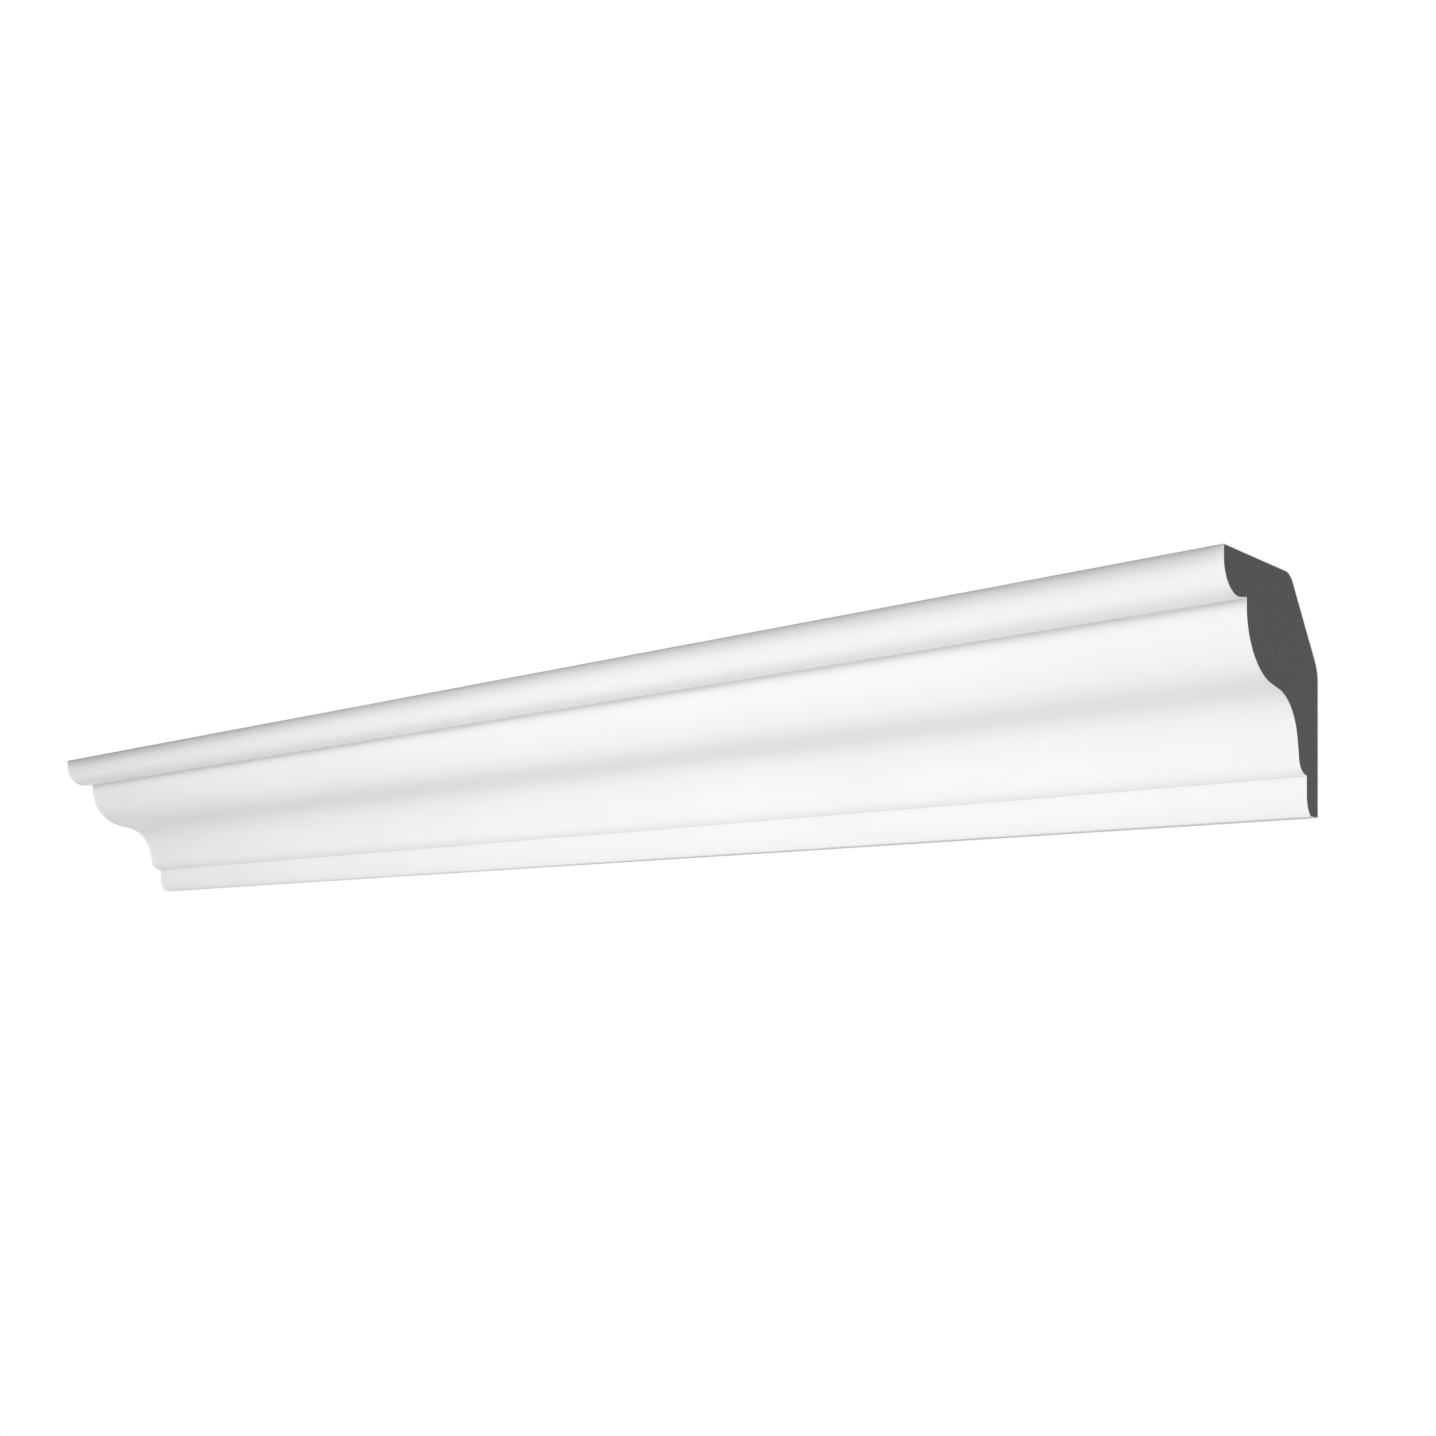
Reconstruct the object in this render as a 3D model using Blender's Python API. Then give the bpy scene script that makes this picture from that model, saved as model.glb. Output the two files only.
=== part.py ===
"""Plain crown moulding, a cornice for the corner between a wall and a ceiling.

One straight length of one profile, cut square at both ends. The wall is the plane Y = 0 and the
moulding stands out from it towards -Y. X runs along the moulding and +Z is up. The origin is the
centre of the flat that lies on the wall. Sizes are in metres and angles in degrees.
"""
import math

import bmesh
import bpy

# Length of the piece
LENGTH = 1.000

# Members of the face, from the foot at the wall up to the ceiling
UNDERSIDE_WIDTH = 0.0082
FOOT_ROUND_RADIUS = 0.0122
FOOT_ROUND_TURN = 50.0
FOOT_FILLET_HEIGHT = 0.0084
STEP_RADIUS = 0.0085
BAND_LENGTH = 0.0078
BAND_LEAN = 12.0
CAVETTO_RADIUS = 0.0232
OGEE_FLAT_LENGTH = 0.0080
OGEE_FLAT_SLOPE = 10.0
OVOLO_RADIUS = 0.0296
FRIEZE_FILLET_HEIGHT = 0.0033
SOFFIT_WIDTH = 0.0052
SOFFIT_DROOP = 10.0
NOSE_RADIUS = 0.0138
NOSE_FILLET_HEIGHT = 0.0056

# Slanted cut that clears the corner of the room, behind the moulding, and its two rounded corners
CORNER_CUT_DEPTH = 0.0300
CORNER_CUT_HEIGHT = 0.0385
CEILING_CORNER_RADIUS = 0.0100
WALL_CORNER_RADIUS = 0.0150

# Longest stretch of a curve that one flat facet takes
FACET_LENGTH = 0.0010

# Edges that turn by more than this stay crisp under smooth shading
CRISP_ANGLE = 20.0

COAT_WHITE = (0.80, 0.79, 0.795, 1.0)
COAT_ROUGHNESS = 0.55
CORE_GREY = (0.092, 0.087, 0.089, 1.0)
CORE_ROUGHNESS = 0.9

OUTWARD = 0.0
UPWARD = 90.0
INWARD = 180.0
DOWNWARD = 270.0


class Outline:
    """Walks round the profile, as distance out from the wall and height above the foot."""

    def __init__(self):
        self.points = [(0.0, 0.0)]
        self.heading = OUTWARD

    def straight(self, length, heading=None):
        """Goes straight on, or straight along a new heading."""
        if heading is not None:
            self.heading = heading
        out, up = self.points[-1]
        angle = math.radians(self.heading)
        self.points.append((out + length * math.cos(angle), up + length * math.sin(angle)))

    def curve(self, radius, start, end):
        """Follows an arc from one heading to another, bulging out where the heading rises."""
        side = 1.0 if end > start else -1.0
        out, up = self.points[-1]
        first = math.radians(start)
        centre = (out - side * radius * math.sin(first), up + side * radius * math.cos(first))
        turn = math.radians(end - start)
        facets = max(3, math.ceil(radius * abs(turn) / FACET_LENGTH))
        for index in range(1, facets + 1):
            angle = first + turn * index / facets
            self.points.append((centre[0] + side * radius * math.sin(angle),
                                centre[1] - side * radius * math.cos(angle)))
        self.heading = end


def profile():
    """Gives the corners of the section and the height of the flat that lies on the wall."""
    outline = Outline()

    # Foot, thin at the wall and rounded in front
    outline.straight(UNDERSIDE_WIDTH)
    outline.curve(FOOT_ROUND_RADIUS, UPWARD - FOOT_ROUND_TURN, UPWARD)
    outline.straight(FOOT_FILLET_HEIGHT)

    # Small quarter round and the band that leans out above it
    outline.curve(STEP_RADIUS, OUTWARD, UPWARD)
    outline.straight(BAND_LENGTH, UPWARD - BAND_LEAN)

    # Ogee: a hollow below, a short flat and a full round above
    outline.curve(CAVETTO_RADIUS, UPWARD - BAND_LEAN, OGEE_FLAT_SLOPE)
    outline.straight(OGEE_FLAT_LENGTH)
    outline.curve(OVOLO_RADIUS, OGEE_FLAT_SLOPE, UPWARD)
    outline.straight(FRIEZE_FILLET_HEIGHT)

    # Nose, which overhangs the ogee and is undercut
    outline.straight(SOFFIT_WIDTH, OUTWARD - SOFFIT_DROOP)
    outline.curve(NOSE_RADIUS, OUTWARD - SOFFIT_DROOP, UPWARD)
    outline.straight(NOSE_FILLET_HEIGHT)

    # Back: the ceiling flat, the rounded corner cut, and the wall flat that closes the outline
    cut_turn = math.degrees(math.atan2(CORNER_CUT_HEIGHT, CORNER_CUT_DEPTH))
    cut_heading = INWARD + cut_turn
    ceiling_trim = CEILING_CORNER_RADIUS * math.tan(math.radians(cut_turn) / 2)
    wall_trim = WALL_CORNER_RADIUS * math.tan(math.radians(DOWNWARD - cut_heading) / 2)
    cut_length = math.hypot(CORNER_CUT_DEPTH, CORNER_CUT_HEIGHT)
    outline.straight(outline.points[-1][0] - CORNER_CUT_DEPTH - ceiling_trim, INWARD)
    outline.curve(CEILING_CORNER_RADIUS, INWARD, cut_heading)
    outline.straight(cut_length - ceiling_trim - wall_trim)
    outline.curve(WALL_CORNER_RADIUS, cut_heading, DOWNWARD)
    return outline.points, outline.points[-1][1]


def material(name, color, roughness):
    """Makes a plain surface material."""
    made = bpy.data.materials.new(name)
    made.use_nodes = True
    shader = made.node_tree.nodes["Principled BSDF"]
    shader.inputs["Base Color"].default_value = color
    shader.inputs["Roughness"].default_value = roughness
    shader.inputs["Metallic"].default_value = 0.0
    made.diffuse_color = color
    return made


def cornice():
    """Draws the section at one end and extrudes it along the length."""
    points, wall_flat = profile()
    shape = bmesh.new()
    corners = [shape.verts.new((-LENGTH / 2, -out, up - wall_flat / 2)) for out, up in points]
    section = shape.faces.new(corners)
    extruded = bmesh.ops.extrude_face_region(shape, geom=[section], use_keep_orig=True)
    moved = [item for item in extruded["geom"] if isinstance(item, bmesh.types.BMVert)]
    bmesh.ops.translate(shape, vec=(LENGTH, 0.0, 0.0), verts=moved)
    bmesh.ops.recalc_face_normals(shape, faces=shape.faces[:])

    # The long faces carry the coat and the two cut ends show the core
    shape.normal_update()
    for face in shape.faces:
        face.material_index = 1 if abs(face.normal.x) > 0.5 else 0

    mesh = bpy.data.meshes.new("cornice")
    shape.to_mesh(mesh)
    shape.free()
    mesh.materials.append(material("coat", COAT_WHITE, COAT_ROUGHNESS))
    mesh.materials.append(material("core", CORE_GREY, CORE_ROUGHNESS))
    mesh.shade_smooth()
    mesh.set_sharp_from_angle(angle=math.radians(CRISP_ANGLE))
    placed = bpy.data.objects.new("cornice", mesh)
    bpy.context.scene.collection.objects.link(placed)
    return placed


for leftover in list(bpy.data.objects):
    bpy.data.objects.remove(leftover)
cornice()
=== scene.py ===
"""Looks of a metre of plain crown moulding: a white coat over a dark grey foam core, cut square."""

import math

import bmesh
import bpy
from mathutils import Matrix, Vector, noise


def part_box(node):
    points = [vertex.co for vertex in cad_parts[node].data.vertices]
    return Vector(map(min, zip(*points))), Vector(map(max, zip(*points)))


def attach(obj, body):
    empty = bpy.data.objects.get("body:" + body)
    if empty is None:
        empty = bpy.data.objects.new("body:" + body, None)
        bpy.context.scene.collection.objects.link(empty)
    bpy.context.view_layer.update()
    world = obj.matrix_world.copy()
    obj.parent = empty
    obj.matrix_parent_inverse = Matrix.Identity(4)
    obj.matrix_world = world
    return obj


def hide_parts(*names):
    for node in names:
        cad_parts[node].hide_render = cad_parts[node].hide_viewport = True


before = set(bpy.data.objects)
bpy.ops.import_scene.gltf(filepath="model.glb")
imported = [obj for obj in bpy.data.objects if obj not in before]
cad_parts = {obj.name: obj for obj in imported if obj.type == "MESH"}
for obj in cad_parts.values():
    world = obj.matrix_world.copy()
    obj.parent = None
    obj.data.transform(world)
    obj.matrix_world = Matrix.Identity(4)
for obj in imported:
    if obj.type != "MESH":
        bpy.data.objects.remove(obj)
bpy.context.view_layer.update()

# Places taken from the frame, in metres
LOW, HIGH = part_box("cornice")
NEAR_END = HIGH.x
FAR_END = LOW.x
NOSE_FRONT = LOW.y
CEILING_PLANE = HIGH.z

# Camera, worked out from the photograph: side, focal length and horizon in the photograph's own
# pixels, the turn away from square on, and where the near top corner of the nose lies from the
# eye, in metres forward, to the right and up
IMAGE_SIZE = 1436
LENS_PIXELS = 1603.8
HORIZON_ROW = 968.3
SENSOR_WIDTH = 36.0
LEVEL_PITCH = math.radians(90.0)
CAMERA_TURN = math.radians(42.44)
NEAR_CORNER_DISTANCE = 0.6442
NEAR_CORNER_RIGHT = 0.2031
NEAR_CORNER_RISE = 0.1708

# Visible mesh, in metres: eased arrises, the rim of coat at the cut ends and the slight wave
ARRIS_RADIUS = 0.0006
INNER_CORNER_RADIUS = 0.00025
ARRIS_SEGMENTS = 3
ROUND_PROFILE = 0.5
ARRIS_ANGLE = math.radians(18.0)
CRISP_ANGLE = math.radians(40.0)
FLAT_ANGLE = math.radians(0.2)
WELD_DISTANCE = 0.000001
END_FACE_NORMAL = 0.9
COAT_THICKNESS = 0.0003
STATION_SPACING = 0.010
WAVE_HEIGHT = 0.00006
WAVE_LENGTH = 0.130

# Place of the core's material on the piece, after the coat's
CORE_SLOT = 1

# Darkest and lightest tint of the coat and of the core, and the part of a pattern they run over
COAT_TINTS = ((0.795, 0.786, 0.789, 1.0), (0.815, 0.805, 0.808, 1.0))
CORE_TINTS = ((0.083, 0.078, 0.080, 1.0), (0.101, 0.096, 0.098, 1.0))
TINT_START = 0.3
TINT_STOP = 0.7

# Patterns: cells per metre, detail and, where the cells are drawn out, their scale along X, Y and Z
COAT_TINT_PATTERN = (9.0, 4.0)
COAT_SHEEN_PATTERN = (60.0, 3.0)
COAT_PEEL_PATTERN = (900.0, 2.0)
COAT_LINE_PATTERN = (500.0, 2.0, (0.01, 1.0, 1.0))
CORE_TINT_PATTERN = (700.0, 4.0)
CORE_CELL_PATTERN = (1400.0, 2.0)
CORE_SAW_PATTERN = (300.0, 2.0, (1.0, 1.0, 0.02))

# Gloss, and the depth of the bumps in metres
COAT_ROUGHNESS = (0.48, 0.60)
COAT_SPECULAR = 0.35
PEEL_DEPTH = 0.00002
LINE_DEPTH = 0.00002
CORE_ROUGHNESS = 0.9
CORE_SPECULAR = 0.2
CELL_DEPTH = 0.0001
SAW_DEPTH = 0.00005

# Room, in metres: the floor, the black card above the nose, and the sky
FLOOR_DROP = 1.60
FLOOR_RADIUS = 1.8
FLOOR_CLEAR_RADIUS = 0.8
FLOOR_SIDES = 96
FLOOR_COLOR = (0.8, 0.8, 0.8, 1.0)
FLOOR_ROUGHNESS = 0.9
CARD_DEPTH = 0.014
CARD_GAP = 0.0005
CARD_COLOR = (0.02, 0.02, 0.02, 1.0)
WHITE = (1.0, 1.0, 1.0, 1.0)
SKY_STRENGTH = 0.83

# Soft panels round the moulding: turn from straight in front towards the near end and height
# over the level, both in degrees, and power in watts
PANEL_TARGET = Vector((0.15, -0.05, 0.0))
PANEL_DISTANCE = 1.45
PANEL_SIZE = 0.9
PANELS = {
    "front": (0.0, 0.0, 8.0),
    "front_raised": (0.0, 12.0, 4.2),
    "front_right": (30.0, 0.0, 1.3),
    "front_low": (0.0, -50.0, 4.3),
    "low_right": (85.0, -50.0, 4.9),
    "low_left": (-70.0, -50.0, 3.0),
}

# Panels behind the wall's plane, which light only the two cut ends, in the same terms
END_PANELS = {
    "near_end": (115.0, 0.0, 1.1),
    "far_end": (-115.0, 0.0, 1.1),
}

# Widths of the two kinds of beam, in degrees
WIDE_BEAM = 180.0
END_BEAM = 70.0


def new_object(name, data):
    """Makes an object from its data and adds it to the scene."""
    made = bpy.data.objects.new(name, data)
    bpy.context.scene.collection.objects.link(made)
    return made


def make_piece():
    """Copies the solid's shape into a finer mesh: eased arrises, a coat rim and a slight wave."""
    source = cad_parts["cornice"].data
    shape = bmesh.new()
    shape.from_mesh(source)
    bmesh.ops.remove_doubles(shape, verts=shape.verts[:], dist=WELD_DISTANCE)
    bmesh.ops.dissolve_limit(shape, angle_limit=FLAT_ANGLE, verts=shape.verts[:],
                             edges=shape.edges[:], delimit=set())
    ease_arrises(shape)
    mark_core(shape)
    add_stations(shape)
    add_wave(shape)
    mesh = bpy.data.meshes.new("moulding")
    shape.to_mesh(mesh)
    shape.free()
    piece = new_object("moulding", mesh)
    mesh.shade_smooth()
    mesh.set_sharp_from_angle(angle=CRISP_ANGLE)
    flats = piece.modifiers.new("flats", "WEIGHTED_NORMAL")
    flats.keep_sharp = True
    return piece


def runs_along(edge):
    """True for an edge that runs the length of the moulding."""
    first, second = edge.verts
    return abs(first.co.x - second.co.x) > (NEAR_END - FAR_END) / 2


def ease_arrises(shape):
    """Rounds the arrises along the length, and fills the inner corners a little."""
    for inner, radius in ((False, ARRIS_RADIUS), (True, INNER_CORNER_RADIUS)):
        corners = [edge for edge in shape.edges
                   if runs_along(edge) and edge.calc_face_angle(0.0) > ARRIS_ANGLE
                   and (edge.calc_face_angle_signed(0.0) < 0.0) == inner]
        bmesh.ops.bevel(shape, geom=corners, offset=radius, offset_type="OFFSET",
                        segments=ARRIS_SEGMENTS, profile=ROUND_PROFILE, affect="EDGES",
                        clamp_overlap=True)


def mark_core(shape):
    """Gives each cut end a rim of coat around the bare core."""
    shape.normal_update()
    ends = [face for face in shape.faces if abs(face.normal.x) > END_FACE_NORMAL]
    bmesh.ops.inset_region(shape, faces=ends, thickness=COAT_THICKNESS, use_even_offset=True)
    for face in ends:
        face.material_index = CORE_SLOT


def add_stations(shape):
    """Cuts the long faces across at even stations."""
    stations = round((NEAR_END - FAR_END) / STATION_SPACING)
    along = [edge for edge in shape.edges if runs_along(edge)]
    bmesh.ops.subdivide_edges(shape, edges=along, cuts=stations - 1, use_grid_fill=False)


def add_wave(shape):
    """Sinks the long faces between the ends unevenly, by the wave's height at most."""
    shape.normal_update()
    for vertex in shape.verts:
        if FAR_END + WELD_DISTANCE < vertex.co.x < NEAR_END - WELD_DISTANCE:
            sample = noise.noise(vertex.co / WAVE_LENGTH)
            vertex.co -= vertex.normal * WAVE_HEIGHT * (0.5 + 0.5 * sample)


def new_material(name):
    """Starts a node material and returns it with its tree and shader."""
    made = bpy.data.materials.new(name)
    made.use_nodes = True
    tree = made.node_tree
    return made, tree, tree.nodes["Principled BSDF"]


def add_noise(tree, scale, detail, stretch=(1.0, 1.0, 1.0)):
    """Adds a noise pattern in object space, in cells per metre."""
    place = tree.nodes.new("ShaderNodeTexCoord")
    size = tree.nodes.new("ShaderNodeMapping")
    size.inputs["Scale"].default_value = stretch
    pattern = tree.nodes.new("ShaderNodeTexNoise")
    pattern.inputs["Scale"].default_value = scale
    pattern.inputs["Detail"].default_value = detail
    tree.links.new(place.outputs["Object"], size.inputs["Vector"])
    tree.links.new(size.outputs["Vector"], pattern.inputs["Vector"])
    return pattern.outputs["Fac"]


def add_ramp(tree, value, low, high):
    """Turns a pattern into a colour between two colours."""
    ramp = tree.nodes.new("ShaderNodeValToRGB")
    first, last = ramp.color_ramp.elements
    first.color = low
    first.position = TINT_START
    last.color = high
    last.position = TINT_STOP
    tree.links.new(value, ramp.inputs["Fac"])
    return ramp.outputs["Color"]


def add_range(tree, value, low, high):
    """Maps a pattern of 0 to 1 onto a range."""
    mapped = tree.nodes.new("ShaderNodeMapRange")
    mapped.inputs["To Min"].default_value = low
    mapped.inputs["To Max"].default_value = high
    tree.links.new(value, mapped.inputs["Value"])
    return mapped.outputs["Result"]


def add_bump(tree, height, depth, below=None):
    """Adds a bump of a given depth in metres, on top of another one if there is one."""
    bump = tree.nodes.new("ShaderNodeBump")
    bump.inputs["Strength"].default_value = 1.0
    bump.inputs["Distance"].default_value = depth
    tree.links.new(height, bump.inputs["Height"])
    if below is not None:
        tree.links.new(below, bump.inputs["Normal"])
    return bump.outputs["Normal"]


def coat_material():
    """White primer: satin matt, with a fine orange peel and faint lines along the length."""
    made, tree, shader = new_material("coat_white")
    tint = add_ramp(tree, add_noise(tree, *COAT_TINT_PATTERN), *COAT_TINTS)
    tree.links.new(tint, shader.inputs["Base Color"])
    sheen = add_range(tree, add_noise(tree, *COAT_SHEEN_PATTERN), *COAT_ROUGHNESS)
    tree.links.new(sheen, shader.inputs["Roughness"])
    peel = add_bump(tree, add_noise(tree, *COAT_PEEL_PATTERN), PEEL_DEPTH)
    lines = add_bump(tree, add_noise(tree, *COAT_LINE_PATTERN), LINE_DEPTH, peel)
    tree.links.new(lines, shader.inputs["Normal"])
    shader.inputs["Specular IOR Level"].default_value = COAT_SPECULAR
    return made


def core_material():
    """Dark grey rigid foam, sawn: fine cells and faint saw lines."""
    made, tree, shader = new_material("core_grey")
    tint = add_ramp(tree, add_noise(tree, *CORE_TINT_PATTERN), *CORE_TINTS)
    tree.links.new(tint, shader.inputs["Base Color"])
    shader.inputs["Roughness"].default_value = CORE_ROUGHNESS
    shader.inputs["Specular IOR Level"].default_value = CORE_SPECULAR
    cells = add_bump(tree, add_noise(tree, *CORE_CELL_PATTERN), CELL_DEPTH)
    saw = add_bump(tree, add_noise(tree, *CORE_SAW_PATTERN), SAW_DEPTH, cells)
    tree.links.new(saw, shader.inputs["Normal"])
    return made


def make_camera():
    """Level camera at the photograph's angle, with the frame moved up to hold the moulding."""
    forward = Vector((-math.sin(CAMERA_TURN), math.cos(CAMERA_TURN), 0.0))
    right = Vector((math.cos(CAMERA_TURN), math.sin(CAMERA_TURN), 0.0))
    corner = Vector((NEAR_END, NOSE_FRONT, CEILING_PLANE))
    eye = corner - forward * NEAR_CORNER_DISTANCE - right * NEAR_CORNER_RIGHT
    eye.z -= NEAR_CORNER_RISE
    data = bpy.data.cameras.new("camera")
    data.sensor_width = SENSOR_WIDTH
    data.lens = LENS_PIXELS / IMAGE_SIZE * SENSOR_WIDTH
    data.shift_y = (HORIZON_ROW - IMAGE_SIZE / 2) / IMAGE_SIZE
    camera = new_object("camera", data)
    camera.location = eye
    camera.rotation_euler = (LEVEL_PITCH, 0.0, CAMERA_TURN)
    bpy.context.scene.camera = camera


def add_panels(panels, beam):
    """Adds soft square panels that the camera doesn't see, with beams of a given width."""
    for name, (turn, height, watts) in panels.items():
        turn, height = math.radians(turn), math.radians(height)
        level = math.cos(height)
        toward = Vector((math.sin(turn) * level, -math.cos(turn) * level, math.sin(height)))
        data = bpy.data.lights.new(name, "AREA")
        data.shape = "SQUARE"
        data.size = PANEL_SIZE
        data.energy = watts
        data.spread = math.radians(beam)
        panel = new_object(name, data)
        panel.location = PANEL_TARGET + toward * PANEL_DISTANCE
        panel.rotation_euler = toward.to_track_quat("Z", "Y").to_euler()
        panel.visible_camera = False


def make_card():
    """Unseen black card that keeps the light off the top of the nose, as a ceiling would."""
    height = CEILING_PLANE + CARD_GAP
    front = NOSE_FRONT - CARD_DEPTH
    corners = [(FAR_END, NOSE_FRONT, height), (NEAR_END, NOSE_FRONT, height),
               (NEAR_END, front, height), (FAR_END, front, height)]
    mesh = bpy.data.meshes.new("card")
    mesh.from_pydata(corners, [], [(0, 1, 2, 3)])
    made, _, shader = new_material("card_black")
    shader.inputs["Base Color"].default_value = CARD_COLOR
    mesh.materials.append(made)
    card = new_object("card", mesh)
    card.visible_camera = False


def make_floor():
    """Pale floor well below the moulding, which fades out into the white around it."""
    disc = bmesh.new()
    bmesh.ops.create_circle(disc, cap_ends=True, segments=FLOOR_SIDES, radius=FLOOR_RADIUS)
    mesh = bpy.data.meshes.new("floor")
    disc.to_mesh(mesh)
    disc.free()
    floor = new_object("floor", mesh)
    floor.location = (0.0, 0.0, LOW.z - FLOOR_DROP)
    made, tree, shader = new_material("floor_pale")
    shader.inputs["Base Color"].default_value = FLOOR_COLOR
    shader.inputs["Roughness"].default_value = FLOOR_ROUGHNESS
    place = tree.nodes.new("ShaderNodeTexCoord")
    length = tree.nodes.new("ShaderNodeVectorMath")
    length.operation = "LENGTH"
    fade = tree.nodes.new("ShaderNodeMapRange")
    fade.interpolation_type = "SMOOTHSTEP"
    fade.inputs["From Min"].default_value = FLOOR_CLEAR_RADIUS
    fade.inputs["From Max"].default_value = FLOOR_RADIUS
    clear = tree.nodes.new("ShaderNodeBsdfTransparent")
    blend = tree.nodes.new("ShaderNodeMixShader")
    tree.links.new(place.outputs["Object"], length.inputs[0])
    tree.links.new(length.outputs["Value"], fade.inputs["Value"])
    tree.links.new(fade.outputs["Result"], blend.inputs["Fac"])
    tree.links.new(shader.outputs["BSDF"], blend.inputs[1])
    tree.links.new(clear.outputs["BSDF"], blend.inputs[2])
    tree.links.new(blend.outputs["Shader"], tree.nodes["Material Output"].inputs["Surface"])
    mesh.materials.append(made)


def make_world():
    """White all round for the camera. The light has a dimmer sky, and nothing below the horizon."""
    world = bpy.data.worlds.new("surround")
    bpy.context.scene.world = world
    world.use_nodes = True
    tree = world.node_tree
    sky = tree.nodes["Background"]
    sky.inputs["Color"].default_value = WHITE
    place = tree.nodes.new("ShaderNodeTexCoord")
    parts = tree.nodes.new("ShaderNodeSeparateXYZ")
    above = tree.nodes.new("ShaderNodeMath")
    above.operation = "GREATER_THAN"
    above.inputs[1].default_value = 0.0
    strength = tree.nodes.new("ShaderNodeMath")
    strength.operation = "MULTIPLY"
    strength.inputs[1].default_value = SKY_STRENGTH
    seen = tree.nodes.new("ShaderNodeBackground")
    seen.inputs["Color"].default_value = WHITE
    path = tree.nodes.new("ShaderNodeLightPath")
    blend = tree.nodes.new("ShaderNodeMixShader")
    tree.links.new(place.outputs["Generated"], parts.inputs["Vector"])
    tree.links.new(parts.outputs["Z"], above.inputs[0])
    tree.links.new(above.outputs["Value"], strength.inputs[0])
    tree.links.new(strength.outputs["Value"], sky.inputs["Strength"])
    tree.links.new(path.outputs["Is Camera Ray"], blend.inputs["Fac"])
    tree.links.new(sky.outputs["Background"], blend.inputs[1])
    tree.links.new(seen.outputs["Background"], blend.inputs[2])
    tree.links.new(blend.outputs["Shader"], tree.nodes["World Output"].inputs["Surface"])


moulding = make_piece()
moulding.data.materials.append(coat_material())
moulding.data.materials.append(core_material())
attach(moulding, "root")
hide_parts("cornice")

make_camera()
make_world()
make_floor()
make_card()
add_panels(PANELS, WIDE_BEAM)
add_panels(END_PANELS, END_BEAM)
bpy.context.scene.view_settings.view_transform = "Standard"
